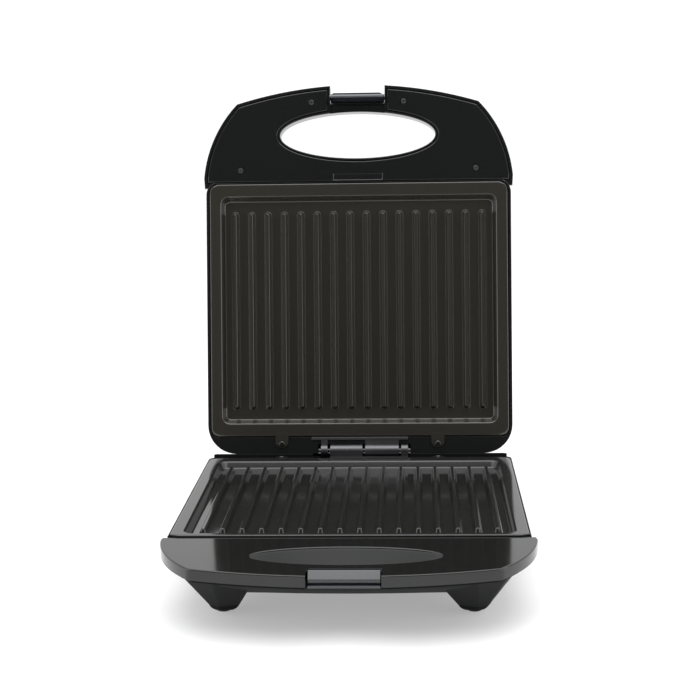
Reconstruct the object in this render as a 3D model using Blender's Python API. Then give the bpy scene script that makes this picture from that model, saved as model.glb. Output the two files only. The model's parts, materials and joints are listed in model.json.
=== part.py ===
"""Panini press: ribbed contact grill, lid open. Lengths in millimetres until a mesh is made.

Every solid is drawn in one hinge frame: X right, Y back, Z up, origin on the hinge axis, lid closed.
The base pieces are then moved so that the floor is z = 0. The lid pieces hang on an empty on the hinge
axis, which is turned to the open pose.
"""
import math

import bmesh
import bpy
from mathutils import Matrix, Vector

MM = 0.001

# Hinge and pose
OPEN_DEG = 100.1            # lid opening from closed
AXIS_HEIGHT = 49.0          # hinge axis above the floor
AXIS_BACK = 105.59          # hinge axis behind the middle of the open press

# Grill plates
PLATE_W = 230.0
PLATE_D = 194.8
PLATE_BACK = -10.7          # back edge of both plates
LOWER_RIM = -3.0            # rim level of the lower plate
UPPER_RIM = -1.0            # rim level of the upper plate, lid closed
RIM_T = 1.3                 # rim flange thickness
PLATE_T = 7.3               # rim face to the back of the plate
BODY_INSET = 2.6            # plate body inside the rim flange
WELL_SIDE = 8.4             # flat rim width beside the well
WELL_END = 10.0             # flat rim width in front of and behind the well
WELL_RUN = 2.7              # sloping wall of the well
WELL_DEPTH = 5.3
RIB_COUNT = 16
RIB_PITCH = 12.77
RIB_BACK = 20.5             # back tip of the ribs, from the plate's back edge
RIB_FRONT = 173.9           # front tip of the ribs, from the plate's back edge
RIB_W = 6.0
RIB_H = 4.2
TAB_X = 60.0                # screw tabs on the plate's back edge
TAB_W = 10.0
TAB_REACH = 10.2
TAB_T = 1.2
TAB_SCREW_IN = 4.6          # screw centre from the tab's tip

# Handle outline shared by lid and base; "ext" is the distance in front of the plates
SHOULDER = (119.0, 5.0)
SIDE_MID = (113.3, 29.8)
CORNER = (93.0, 62.0)
APEX = 76.0
HOLE_X = 59.7               # half length of the hand hole
HOLE_Y = 17.9               # half width of the hand hole
HOLE_EXT = 37.2

# Base
BASE_HALF = 115.3
BASE_BACK = -1.0
BASE_TOP = -4.4
BASE_WALL = 2.3
LEDGE_TOP = -5.0            # ledge behind the plate that carries the hinge
HANDLE_TOP = -5.0
FASCIA_LOW = -12.2
BELLY_TOP = -13.0
BELLY_LOW = -39.0
RECESS_DEPTH = 11.5
GLAND_X = 62.0              # cord gland in the back wall
GLAND_Z = -25.0
CATCH_HALF = 21.65
CATCH_SLOT_HALF = 22.3
LEG_LOW = -47.4
PAD_X = 79.2

# Lid
LID_HALF = 118.0
LID_BACK = 1.8
LID_TOP = 39.0
LID_HANDLE_TOP = 17.0
LID_FACE = 1.0              # inner face of the handle
LID_WALL = 2.2
COVER_T = 2.5
NOTCH_HALF = 21.35
NOTCH_EXT = 61.3
COVER_CUT_HALF = 23.4
LATCH_HALF = 20.75
PIN_EXT = 66.0              # latch pin
PIN_Z = 7.0
LENS_X = 11.0               # indicator lenses on top of the lid
LENS_Y = -150.0
COVER_SCREWS = ((35.5, 62.8), (90.6, 10.8))     # x and ext of the screws in the handle cover

# Hinge along X
BARREL_R = 4.3
BORE_R = 1.6
HINGE_PIN_R = 1.5
SCREW_HEAD_R = 2.2
SCREW_HEAD_H = 1.0
GAP = 0.3                   # clearance between neighbouring pieces

PLATE_FRONT = PLATE_BACK - PLATE_D
TAB_SCREW_Y = PLATE_BACK + TAB_REACH - TAB_SCREW_IN


def clear_scene():
    for obj in list(bpy.data.objects):
        bpy.data.objects.remove(obj, do_unlink=True)


clear_scene()
press = bpy.data.collections.new("panini_press")
bpy.context.scene.collection.children.link(press)


def material(name, color, metallic, roughness):
    mat = bpy.data.materials.new(name)
    mat.use_nodes = True
    shader = mat.node_tree.nodes["Principled BSDF"]
    shader.inputs["Base Color"].default_value = (*color, 1.0)
    shader.inputs["Metallic"].default_value = metallic
    shader.inputs["Roughness"].default_value = roughness
    return mat


LOOKS = {
    "black_gloss": ((0.012, 0.012, 0.013), 0.0, 0.12),
    "black_satin": ((0.02, 0.02, 0.022), 0.0, 0.4),
    "nonstick": ((0.03, 0.028, 0.025), 0.3, 0.35),
    "blue_gloss": ((0.05, 0.06, 0.09), 0.2, 0.15),
    "steel": ((0.55, 0.55, 0.56), 1.0, 0.3),
    "rubber": ((0.02, 0.02, 0.02), 0.0, 0.8),
    "red_lens": ((0.6, 0.02, 0.02), 0.0, 0.1),
    "green_lens": ((0.02, 0.4, 0.05), 0.0, 0.1),
    "phenolic": ((0.15, 0.1, 0.07), 0.0, 0.5),
}


def to_object(name, bm):
    bmesh.ops.recalc_face_normals(bm, faces=bm.faces)
    mesh = bpy.data.meshes.new(name)
    bm.to_mesh(mesh)
    bm.free()
    obj = bpy.data.objects.new(name, mesh)
    press.objects.link(obj)
    return obj


def loft(name, rings):
    """Closed solid through rings of equal point count."""
    bm = bmesh.new()
    loops = [[bm.verts.new(Vector(p) * MM) for p in ring] for ring in rings]
    count = len(rings[0])
    bm.faces.new(loops[0])
    bm.faces.new(loops[-1])
    for low, high in zip(loops, loops[1:]):
        for i in range(count):
            j = (i + 1) % count
            bm.faces.new((low[i], low[j], high[j], high[i]))
    return to_object(name, bm)


# Turns a shape drawn along Z so that it runs along X, Y or Z.
TURN = {
    "X": Matrix(((0, 0, 1, 0), (1, 0, 0, 0), (0, 1, 0, 0), (0, 0, 0, 1))),
    "Y": Matrix(((1, 0, 0, 0), (0, 0, 1, 0), (0, 1, 0, 0), (0, 0, 0, 1))),
    "Z": Matrix.Identity(4),
}


def curve_to_mesh(name, curve):
    """Evaluated curve as a bmesh with its caps welded."""
    source = bpy.data.objects.new(name + "_curve", curve)
    press.objects.link(source)
    graph = bpy.context.evaluated_depsgraph_get()
    mesh = bpy.data.meshes.new_from_object(source.evaluated_get(graph))
    bpy.data.objects.remove(source, do_unlink=True)
    bm = bmesh.new()
    bm.from_mesh(mesh)
    bpy.data.meshes.remove(mesh)
    bmesh.ops.remove_doubles(bm, verts=bm.verts, dist=0.00001)
    return bm


def prism(name, outline, start, end, axis="Z"):
    """Flat outline extruded from start to end along an axis."""
    curve = bpy.data.curves.new(name, "CURVE")
    curve.dimensions = "2D"
    curve.fill_mode = "BOTH"
    curve.extrude = abs(end - start) / 2 * MM
    spline = curve.splines.new("POLY")
    spline.points.add(len(outline) - 1)
    spline.use_cyclic_u = True
    for point, (u, v) in zip(spline.points, outline):
        point.co = (u * MM, v * MM, 0.0, 1.0)
    bm = curve_to_mesh(name, curve)
    bm.transform(TURN[axis] @ Matrix.Translation((0.0, 0.0, (start + end) / 2 * MM)))
    return to_object(name, bm)


def cylinder(name, centre, radius, start, end, axis="Z", count=24):
    """Round bar; centre is its place across the axis."""
    bm = bmesh.new()
    place = Matrix.Translation(Vector((*centre, (start + end) / 2)) * MM)
    bmesh.ops.create_cone(bm, cap_ends=True, segments=count, radius1=radius * MM, radius2=radius * MM,
                          depth=abs(end - start) * MM, matrix=TURN[axis] @ place)
    return to_object(name, bm)


def box(name, x0, x1, y0, y1, z0, z1):
    bm = bmesh.new()
    middle = Vector((x0 + x1, y0 + y1, z0 + z1)) / 2 * MM
    size = Vector((x1 - x0, y1 - y0, z1 - z0)) * MM
    bmesh.ops.create_cube(bm, size=1.0, matrix=Matrix.Translation(middle) @ Matrix.Diagonal((*size, 1.0)))
    return to_object(name, bm)


def ellipse(grow=0.0, count=40):
    turn = 2 * math.pi / count
    mid = PLATE_FRONT - HOLE_EXT
    return [((HOLE_X + grow) * math.cos(i * turn), mid + (HOLE_Y + grow) * math.sin(i * turn))
            for i in range(count)]


def combine(target, tool, operation="DIFFERENCE"):
    """Boolean of two solids; the tool is used up."""
    mod = target.modifiers.new("combine", "BOOLEAN")
    mod.operation = operation
    mod.solver = "EXACT"
    mod.object = tool
    graph = bpy.context.evaluated_depsgraph_get()
    mesh = bpy.data.meshes.new_from_object(target.evaluated_get(graph))
    target.modifiers.clear()
    old = target.data
    target.data = mesh
    mesh.name = target.name
    bpy.data.meshes.remove(old)
    bpy.data.objects.remove(tool, do_unlink=True)
    return target


def arc_through(a, b, c, count):
    """Points on the circle through a, b and c, from a to c."""
    ax, ay = a
    bx, by = b
    cx, cy = c
    d = 2 * (ax * (by - cy) + bx * (cy - ay) + cx * (ay - by))
    ux = ((ax**2 + ay**2) * (by - cy) + (bx**2 + by**2) * (cy - ay) + (cx**2 + cy**2) * (ay - by)) / d
    uy = ((ax**2 + ay**2) * (cx - bx) + (bx**2 + by**2) * (ax - cx) + (cx**2 + cy**2) * (bx - ax)) / d
    radius = math.hypot(ax - ux, ay - uy)
    start = math.atan2(ay - uy, ax - ux)
    end = math.atan2(cy - uy, cx - ux)
    return [(ux + radius * math.cos(start + (end - start) * i / count),
             uy + radius * math.sin(start + (end - start) * i / count)) for i in range(count + 1)]


def shrink(outline, inset):
    """Move each point of a closed outline inward along its own normal."""
    count = len(outline)
    area = sum(outline[i - 1][0] * outline[i][1] - outline[i][0] * outline[i - 1][1] for i in range(count))
    side = 1.0 if area > 0 else -1.0
    moved = []
    for i, (x, y) in enumerate(outline):
        before = Vector((x - outline[i - 1][0], y - outline[i - 1][1])).normalized()
        after = Vector((outline[(i + 1) % count][0] - x, outline[(i + 1) % count][1] - y)).normalized()
        normal_a = Vector((-before.y, before.x)) * side
        normal_b = Vector((-after.y, after.x)) * side
        miter = (normal_a + normal_b) / (1.0 + normal_a.dot(normal_b))
        moved.append((x + miter.x * inset, y + miter.y * inset))
    return moved


def handle_outline(back, inset=0.0, side_points=6, front_points=6):
    """Plan outline of a handle, from a straight back edge at y = back."""
    half = arc_through(SHOULDER, SIDE_MID, CORNER, side_points)
    radius = (CORNER[0]**2 + (APEX - CORNER[1])**2) / (2 * (APEX - CORNER[1]))
    for i in range(1, front_points + 1):
        x = CORNER[0] * (1 - i / front_points)
        half.append((x, APEX - radius + math.sqrt(radius**2 - x**2)))
    start = PLATE_FRONT - back
    right = [(118.5, start)] + [p for p in half if p[1] > start + inset + 1.0]
    outline = [(x, PLATE_FRONT - ext) for x, ext in right]
    outline += [(-x, PLATE_FRONT - ext) for x, ext in reversed(right[:-1])]
    return shrink(outline, inset) if inset else outline


def rounded_box(half, y_back, y_front, r_back, r_front, steps=4):
    """Plan rectangle with its own corner radii at the back and the front."""
    outline = []
    corners = ((half - r_back, y_back - r_back, r_back, 0), (-half + r_back, y_back - r_back, r_back, 90),
               (-half + r_front, y_front + r_front, r_front, 180), (half - r_front, y_front + r_front, r_front, 270))
    for cx, cy, radius, start in corners:
        for i in range(steps + 1):
            angle = math.radians(start + 90 * i / steps)
            outline.append((cx + radius * math.cos(angle), cy + radius * math.sin(angle)))
    return outline


# --- grill plates -------------------------------------------------------------------------------

def rib(name, x, rim, up):
    """One rounded rib standing on the well floor; up is +1 for the lower plate, -1 for the upper."""
    floor = rim - up * (WELL_DEPTH + 0.5)
    y_back = PLATE_BACK - RIB_BACK
    y_front = PLATE_BACK - RIB_FRONT
    rings = []
    for inset, height in ((0.0, 0.5), (0.7, 2.6), (1.5, 3.9), (2.3, RIB_H + 0.5)):
        half = RIB_W / 2 - inset
        side = half * 0.45
        ring = [(x - half, y_back - inset - half), (x - side, y_back - inset), (x + side, y_back - inset),
                (x + half, y_back - inset - half), (x + half, y_front + inset + half),
                (x + side, y_front + inset), (x - side, y_front + inset), (x - half, y_front + inset + half)]
        rings.append([(px, py, floor + up * height) for px, py in ring])
    rings.insert(0, [(px, py, floor - up * 0.6) for px, py, _ in rings[0]])
    return loft(name, rings)


def grill_plate(name, rim, up):
    flange = rounded_box(PLATE_W / 2, PLATE_BACK, PLATE_FRONT, 6.0, 6.0)
    body = rounded_box(PLATE_W / 2 - BODY_INSET, PLATE_BACK - BODY_INSET, PLATE_FRONT + BODY_INSET, 5.0, 5.0)
    plate = prism(name, flange, *sorted((rim, rim - up * RIM_T)))
    combine(plate, prism("body", body, *sorted((rim - up * 0.5, rim - up * PLATE_T))), "UNION")
    for side in (-1, 1):
        x = side * TAB_X
        tip = PLATE_BACK + TAB_REACH
        tab = [(x - TAB_W / 2, PLATE_BACK - 3.5), (x + TAB_W / 2, PLATE_BACK - 3.5), (x + TAB_W / 2, tip - 4.0),
               (x + TAB_W / 4, tip), (x - TAB_W / 4, tip), (x - TAB_W / 2, tip - 4.0)]
        level = LEDGE_TOP + 0.1 if up > 0 else -0.1
        # The tab drops below the rim so that it lies on the housing behind the plate.
        combine(plate, prism("tab", tab, *sorted((level, level + up * TAB_T))), "UNION")
        combine(plate, cylinder("tab_hole", (x, tip - TAB_SCREW_IN), 1.5, level - 4, level + 4, count=12))
    wells = []
    for inset, drop in ((-0.2, -0.4), (0.0, 0.0), (WELL_RUN, WELL_DEPTH)):
        ring = rounded_box(PLATE_W / 2 - WELL_SIDE - inset, PLATE_BACK - WELL_END - inset,
                           PLATE_FRONT + WELL_END + inset, 6.0 - inset * 0.5, 6.0 - inset * 0.5)
        wells.append([(x, y, rim - up * drop) for x, y in ring])
    combine(plate, loft("well", wells))
    for i in range(RIB_COUNT):
        combine(plate, rib("rib", (i - (RIB_COUNT - 1) / 2) * RIB_PITCH, rim, up), "UNION")
    return plate


def screw(name, x, y, face, out):
    """Cross-recess pan screw; out is the direction the head faces along Z."""
    body = cylinder(name, (x, y), SCREW_HEAD_R, face, face + out * SCREW_HEAD_H, count=16)
    combine(body, cylinder("shank", (x, y), 1.15, face + out * 0.3, face - out * 6.0, count=12), "UNION")
    top = face + out * SCREW_HEAD_H
    for sx, sy in ((1.3, 0.35), (0.35, 1.3)):
        combine(body, box("cross", x - sx, x + sx, y - sy, y + sy, *sorted((top - out * 0.5, top + out))))
    return body


# --- base ---------------------------------------------------------------------------------------

BELLY_PLAN_TOP = [(106, -4), (110, -8), (110, -150), (109, -200), (103, -238), (89, -262),
                  (60, -268.5), (30, -272.6), (0, -274)]
BELLY_PLAN_LOW = [(80, -10), (88, -17), (88, -150), (88, -190), (84, -205), (72, -211),
                  (48, -212), (24, -212.8), (0, -213)]
BELLY_STEPS = (0.0, 0.12, 0.35, 0.62, 0.85, 1.0)


def belly_rings(inset, top=BELLY_TOP):
    """Rings of the belly from top to floor, each point blended between two plan outlines."""
    rings = []
    for t in BELLY_STEPS:
        blend = t**1.3
        half = [(a[0] + (b[0] - a[0]) * blend, a[1] + (b[1] - a[1]) * blend)
                for a, b in zip(BELLY_PLAN_TOP, BELLY_PLAN_LOW)]
        outline = half + [(-x, y) for x, y in reversed(half[:-1])]
        z = BELLY_TOP + (BELLY_LOW + inset - BELLY_TOP) * t
        rings.append([(x, y, z) for x, y in shrink(outline, inset)])
    rings.insert(0, [(x, y, top) for x, y, _ in rings[0]])
    return rings


def make_base_housing():
    upper = rounded_box(BASE_HALF, BASE_BACK, PLATE_FRONT - 0.1, 5.0, 5.0)
    housing = prism("base_housing", upper, BELLY_TOP - 0.6, BASE_TOP)
    combine(housing, loft("belly", belly_rings(0.0, BELLY_TOP + 0.2)), "UNION")
    flange = handle_outline(PLATE_FRONT + 3.0, inset=2.0 + GAP)
    combine(housing, prism("flange", flange, BELLY_TOP - 0.2, FASCIA_LOW + 1.4), "UNION")
    pocket = rounded_box(BASE_HALF - BASE_WALL, PLATE_BACK - 0.2, PLATE_FRONT + BASE_WALL, 4.0, 4.0)
    combine(housing, prism("pocket", pocket, LOWER_RIM - PLATE_T - 0.7, 0.0))
    lower = rounded_box(BASE_HALF - BASE_WALL - 4.0, BASE_BACK - 5.5, PLATE_FRONT + BASE_WALL, 4.0, 4.0)
    combine(housing, prism("under_ledge", lower, BELLY_TOP - 1.5, LEDGE_TOP - 3.5))
    combine(housing, box("ledge_step", -130, 130, PLATE_BACK - 0.2, 5, LEDGE_TOP, 0))
    combine(housing, loft("belly_room", belly_rings(2.0, BELLY_TOP + 0.05)))
    combine(housing, prism("front_room", shrink(belly_front_plan(), 3.1), BELLY_TOP - 0.5, 0.0))
    combine(housing, box("hinge_notch", -36, 38, -4.9, 2, -12, 0))
    catch_box = (PLATE_FRONT - 80, PLATE_FRONT - 63.5)
    combine(housing, box("catch_room", -CATCH_SLOT_HALF, CATCH_SLOT_HALF, *catch_box, -15.2, 0))
    combine(housing, cylinder("gland_hole", (GLAND_X, GLAND_Z), 5.4, -14, 4, "Y"))
    for x in (-TAB_X, TAB_X):
        combine(housing, cylinder("tab_hole", (x, TAB_SCREW_Y), 1.5, -11.0, 0, count=12))
    return housing


def belly_front_plan():
    """Belly plan in front of the plate, closed by a straight back edge."""
    half = [(109, PLATE_FRONT - 2.5)] + BELLY_PLAN_TOP[4:]
    return half + [(-x, y) for x, y in reversed(half[:-1])]


def make_base_cover():
    cover = prism("base_handle_cover", handle_outline(PLATE_FRONT - 0.4), FASCIA_LOW, HANDLE_TOP)
    room = handle_outline(PLATE_FRONT + 4.0, inset=2.0)
    combine(cover, prism("room", room, FASCIA_LOW - 1, HANDLE_TOP - 2.0))
    combine(cover, prism("pan", ellipse(1.5), HANDLE_TOP - RECESS_DEPTH - 1.5, HANDLE_TOP - 1.0), "UNION")
    combine(cover, prism("recess", ellipse(), HANDLE_TOP - RECESS_DEPTH, HANDLE_TOP + 1))
    slot = (PLATE_FRONT - 80, PLATE_FRONT - 63.6)
    combine(cover, box("catch_slot", -CATCH_SLOT_HALF, CATCH_SLOT_HALF, *slot, -20, 0))
    return cover


def make_catch():
    """Ramp that pushes the latch out, lip it hooks under, and a ledge below."""
    profile = [(63.9, -5.0), (65.0, -5.0), (68.5, -10.1), (68.3, -10.6), (66.2, -10.9), (66.2, -13.2),
               (69.4, -13.3), (69.4, -14.9), (63.9, -14.9)]
    return prism("latch_catch", [(PLATE_FRONT - ext, z) for ext, z in profile], -CATCH_HALF, CATCH_HALF, "X")


def make_leg(name, side, front):
    if front:
        rings = [(BELLY_TOP - 0.5, [(57, -264), (79, -266), (94, -243), (94, -215), (57, -215)]),
                 (-44.5, [(70, -223), (81, -224), (88.5, -216), (88.5, -206), (70, -206)]),
                 (LEG_LOW, [(71.5, -221.5), (80.5, -222.3), (87, -215.5), (87, -207.5), (71.5, -207.5)])]
    else:
        rings = [(BELLY_LOW - GAP, [(63, -46), (85, -46), (87, -42), (87, -16), (63, -16)]),
                 (-44.5, [(69, -42), (86, -42), (88, -38), (88, -20), (69, -20)]),
                 (LEG_LOW, [(70.5, -40.5), (85, -40.5), (86.5, -37), (86.5, -21.5), (70.5, -21.5)])]
    leg = loft(name, [[(side * x, y, z) for x, y in ring] for z, ring in rings])
    if front:
        combine(leg, loft("belly", belly_rings(-0.9, 0.0)))
    return leg


def make_pad(name, side, y):
    return cylinder(name, (side * PAD_X, y), 6.5, -AXIS_HEIGHT, LEG_LOW - 0.05, count=20)


def make_shield(name, z, up):
    """Shallow reflector tray behind a plate; up is the side that is open, towards the plate."""
    tray = prism(name, rounded_box(98, -22, -192, 8, 8), *sorted((z, z + up * 5.0)))
    room = rounded_box(97.2, -22.8, -191.2, 7.2, 7.2)
    combine(tray, prism("room", room, *sorted((z + up * 0.8, z + up * 6.0))))
    return tray


def make_element(name, z):
    """Bent tubular heating element: a U with both ends turned back."""
    curve = bpy.data.curves.new(name, "CURVE")
    curve.dimensions = "3D"
    curve.bevel_depth = 3.2 * MM
    curve.bevel_resolution = 2
    curve.resolution_u = 3
    curve.use_fill_caps = True
    path = [(-18, -40), (-60, -42), (-78, -60), (-78, -150), (-60, -172), (60, -172), (78, -150),
            (78, -60), (60, -42), (18, -40)]
    spline = curve.splines.new("POLY")
    spline.points.add(len(path) - 1)
    for point, (x, y) in zip(spline.points, path):
        point.co = (x * MM, y * MM, z * MM, 1.0)
    return to_object(name, curve_to_mesh(name, curve))


# --- hinge --------------------------------------------------------------------------------------

# x ranges of the knuckles, left to right
LID_EAR = (-30.0, -24.6)
BASE_BARREL = (-22.8, 2.2)
LID_BARREL = (3.9, 30.2)
BASE_EAR = (31.6, 37.2)


def make_bracket(name, knuckles, flange, web):
    """Flange strip with rolled knuckles; flange and web are (y0, y1, z0, z1)."""
    x0 = min(k[0] for k in knuckles) + 0.1
    x1 = max(k[1] for k in knuckles) - 0.1
    bracket = box(name, x0, x1, *flange)
    for start, end in knuckles:
        combine(bracket, box("web", start + 0.3, end - 0.3, *web), "UNION")
        combine(bracket, cylinder("knuckle", (0, 0), BARREL_R, start, end, "X"), "UNION")
        combine(bracket, cylinder("bore", (0, 0), BORE_R, start - 1, end + 1, "X"))
    return bracket


# --- lid ----------------------------------------------------------------------------------------

DOME = ((0.0, 0.0, -207.5), (14.0, 0.3, -207.5), (22.0, 2.5, -204.0), (30.0, 7.5, -197.0),
        (36.0, 15.0, -188.0), (LID_TOP, 25.0, -177.0))


def dome_rings(inset):
    """Lid shell from its lower edge up: level, inset of the sides and back, front y."""
    rings = []
    for z, side, front in DOME:
        outline = rounded_box(LID_HALF - side - inset, LID_BACK - side - inset, front + inset,
                              22.0 - inset, 10.0 + side * 0.4)
        rings.append([(x, y, z if z < LID_TOP else z - inset) for x, y in outline])
    return rings


def make_lid_housing():
    housing = loft("lid_housing", dome_rings(0.0))
    outline = handle_outline(PLATE_FRONT + 3.0)
    rings = [(LID_FACE, 0.0), (LID_HANDLE_TOP - 5.0, 0.0), (LID_HANDLE_TOP - 1.5, 1.3), (LID_HANDLE_TOP, 4.0)]
    handle = loft("handle", [[(x, y, z) for x, y in (shrink(outline, inset) if inset else outline)]
                             for z, inset in rings])
    combine(housing, handle, "UNION")
    room = dome_rings(LID_WALL)
    room[0] = [(x, y, 3.0) for x, y, _ in room[0]]
    combine(housing, loft("room", room))
    pocket = rounded_box(PLATE_W / 2 + 0.4, PLATE_BACK + 0.3, PLATE_FRONT - 0.3, 6.0, 6.0)
    combine(housing, prism("pocket", pocket, -2.0, 6.0))
    keep = prism("cover_pocket", handle_outline(PLATE_FRONT - 0.9, inset=2.2), 0.0, LID_FACE + COVER_T + 0.2)
    combine(keep, prism("ring", ellipse(1.7), -1.0, 9.0))
    bridge = COVER_CUT_HALF - GAP
    combine(keep, box("bridge", -bridge, bridge, PLATE_FRONT - 80, PLATE_FRONT - HOLE_EXT, -1, 9))
    combine(housing, keep)
    deep = prism("handle_room", handle_outline(PLATE_FRONT - 2.0, inset=5.0), 2.0, LID_HANDLE_TOP - 2.2)
    combine(deep, prism("ring", ellipse(3.5), -1.0, 20.0))
    combine(deep, box("bridge", -COVER_CUT_HALF - 3, COVER_CUT_HALF + 3, PLATE_FRONT - 80,
                      PLATE_FRONT - HOLE_EXT, -1, 20))
    combine(housing, deep)
    combine(housing, prism("hand_hole", ellipse(), -2.0, 30.0))
    combine(housing, box("notch", -NOTCH_HALF, NOTCH_HALF, PLATE_FRONT - 80, PLATE_FRONT - NOTCH_EXT, -2, 30))
    combine(housing, box("bridge_step", -NOTCH_HALF, NOTCH_HALF, PLATE_FRONT - 62, PLATE_FRONT - 45, -2, 3.0))
    combine(housing, cylinder("pin_hole", (PLATE_FRONT - PIN_EXT, PIN_Z), 1.3, -27, 27, "X", 12))
    combine(housing, box("hinge_notch", -32, 39, -4.9, 5, -2, 6))
    for x in (-TAB_X, TAB_X):
        combine(housing, cylinder("tab_hole", (x, TAB_SCREW_Y), 1.5, -2, 4, count=12))
    for x in (-LENS_X, LENS_X):
        combine(housing, cylinder("lens_hole", (x, LENS_Y), 4.2, 30, 45, count=20))
    return housing


def make_lid_cover():
    cover = prism("lid_handle_cover", handle_outline(PLATE_FRONT - 1.3, inset=2.5), LID_FACE, LID_FACE + COVER_T)
    combine(cover, prism("ring", ellipse(2.0), -1.0, 9.0))
    combine(cover, box("bridge", -COVER_CUT_HALF, COVER_CUT_HALF, PLATE_FRONT - 80, PLATE_FRONT - HOLE_EXT, -1, 9))
    combine(cover, box("label_recess", -18.45, 18.45, PLATE_FRONT - 7.6, PLATE_FRONT - 3.0, 0, LID_FACE + 0.4))
    for x, ext in COVER_SCREWS:
        for side in (-1, 1):
            y = PLATE_FRONT - ext
            combine(cover, cylinder("sink", (side * x, y), 2.5, 0.0, LID_FACE + 1.6, count=16))
            combine(cover, cylinder("hole", (side * x, y), 1.4, 0.0, 9.0, count=12))
    return cover


def make_latch():
    """Clip: barrel on the latch pin, leg in front of the catch, tooth that goes under its lip."""
    profile = [(62.6, 7.0), (63.2, 4.6), (64.6, 3.2), (66.6, 2.4), (69.0, -1.0), (69.0, -11.0), (66.8, -11.3),
               (66.8, -12.6), (67.4, -13.0), (70.6, -13.0), (71.4, -12.2), (71.4, 2.0), (70.6, 6.0),
               (69.2, 8.6), (66.8, 10.2), (64.4, 9.6)]
    clip = prism("latch_clip", [(PLATE_FRONT - ext, z) for ext, z in profile], -LATCH_HALF, LATCH_HALF, "X")
    combine(clip, cylinder("bore", (PLATE_FRONT - PIN_EXT, PIN_Z), 1.35, -30, 30, "X", 16))
    return clip


# --- assembly -----------------------------------------------------------------------------------

base_parts = {}
lid_parts = {}
latch_parts = {}

base_parts["black_gloss"] = [make_base_cover()]
base_parts["black_satin"] = [make_base_housing()]
base_parts["blue_gloss"] = [make_catch()]
base_parts["nonstick"] = [grill_plate("lower_grill_plate", LOWER_RIM, 1)]
steel = [make_shield("lower_heat_shield", -20.0, 1), make_element("lower_heating_element", -14.6)]
for tag, sign in (("left", -1), ("right", 1)):
    x = sign * TAB_X
    base_parts["black_satin"].append(make_leg("foot_front_" + tag, sign, True))
    base_parts["black_satin"].append(make_leg("foot_rear_" + tag, sign, False))
    base_parts.setdefault("rubber", []).append(make_pad("foot_pad_front_" + tag, sign, -214.8))
    base_parts["rubber"].append(make_pad("foot_pad_rear_" + tag, sign, -31.0))
    steel.append(screw("lower_tab_screw_" + tag, x, TAB_SCREW_Y, LEDGE_TOP + TAB_T + 0.15, 1))
steel.append(make_bracket("base_hinge_bracket", (BASE_BARREL, BASE_EAR), (-10.2, -4.4, -4.9, -3.4),
                          (-5.2, -1.0, -4.7, -2.2)))
steel.append(cylinder("hinge_pin", (0, 0), HINGE_PIN_R, -31.8, 39.0, "X", 16))
base_parts["steel"] = steel
thermostat = cylinder("thermostat", (0, -27.5), 6.0, -120, -108, "Y")
base_parts["phenolic"] = [thermostat, box("terminal_block", 20, 48, -60, -42, -35, -25)]
gland = cylinder("cord_gland", (GLAND_X, GLAND_Z), 5.0, -14, 9.0, "Y", 20)
combine(gland, cylinder("collar", (GLAND_X, GLAND_Z), 7.5, -1.6, 1.5, "Y", 20), "UNION")
combine(gland, cylinder("cord_seat", (GLAND_X, GLAND_Z), 3.2, 5.0, 12.0, "Y", 12))
base_parts["rubber"].append(gland)

lid_parts["black_gloss"] = [make_lid_cover(), make_lid_housing()]
lid_parts["nonstick"] = [grill_plate("upper_grill_plate", UPPER_RIM, -1)]
steel = [make_shield("upper_heat_shield", 16.0, -1), make_element("upper_heating_element", 10.2)]
for tag, sign in (("left", -1), ("right", 1)):
    for label, (x, ext) in zip(("inner", "outer"), COVER_SCREWS):
        steel.append(screw("cover_screw_%s_%s" % (label, tag), sign * x, PLATE_FRONT - ext, LID_FACE + 1.55, -1))
    steel.append(screw("upper_tab_screw_" + tag, sign * TAB_X, TAB_SCREW_Y, -TAB_T - 0.15, -1))
steel.append(make_bracket("lid_hinge_bracket", (LID_EAR, LID_BARREL), (-10.2, -4.9, -1.5, -0.1),
                          (-5.2, -1.0, -2.6, -0.3)))
steel.append(cylinder("latch_pin", (PLATE_FRONT - PIN_EXT, PIN_Z), 1.2, -25, 25, "X", 12))
lid_parts["steel"] = steel
lid_parts["phenolic"] = [cylinder("thermal_fuse", (0, 21.0), 3.0, -120, -90, "Y")]
for tag, sign in (("red", -1), ("green", 1)):
    lens = cylinder(tag + "_lens", (sign * LENS_X, LENS_Y), 3.9, 35.0, LID_TOP + 0.6, count=20)
    lid_parts[tag + "_lens"] = [lens]
latch_parts["blue_gloss"] = [make_latch()]

# The lid turns about the hinge axis; the latch turns about its pin on the lid.
lid_pivot = bpy.data.objects.new("lid_pivot", None)
latch_pivot = bpy.data.objects.new("latch_pivot", None)
for pivot in (lid_pivot, latch_pivot):
    press.objects.link(pivot)
hinge = Vector((0.0, AXIS_BACK, AXIS_HEIGHT)) * MM
latch_pin = Vector((0.0, PLATE_FRONT - PIN_EXT, PIN_Z)) * MM
lid_pivot.location = hinge
lid_pivot.rotation_euler = (-math.radians(OPEN_DEG), 0.0, 0.0)
latch_pivot.parent = lid_pivot
latch_pivot.location = latch_pin

for parts, pivot in ((base_parts, None), (lid_parts, lid_pivot), (latch_parts, latch_pivot)):
    for look, objects in parts.items():
        for obj in objects:
            mat = material(obj.name + "_mat", *LOOKS[look])
            obj.data.materials.clear()
            obj.data.materials.append(mat)
            obj.data.shade_smooth()
            obj.data.set_sharp_from_angle(angle=math.radians(35))
            if pivot is None:
                obj.location = hinge
            else:
                obj.parent = pivot
            if pivot is latch_pivot:
                obj.location = -latch_pin
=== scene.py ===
"""Panini press, lid open: the looks. Lengths in millimetres in the hinge frame until a mesh is placed.

The hinge frame has X right, Y back, Z up and its origin on the hinge axis, with the lid closed.
"""
import json
import math

import bmesh
import bpy
from mathutils import Matrix, Vector


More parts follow.
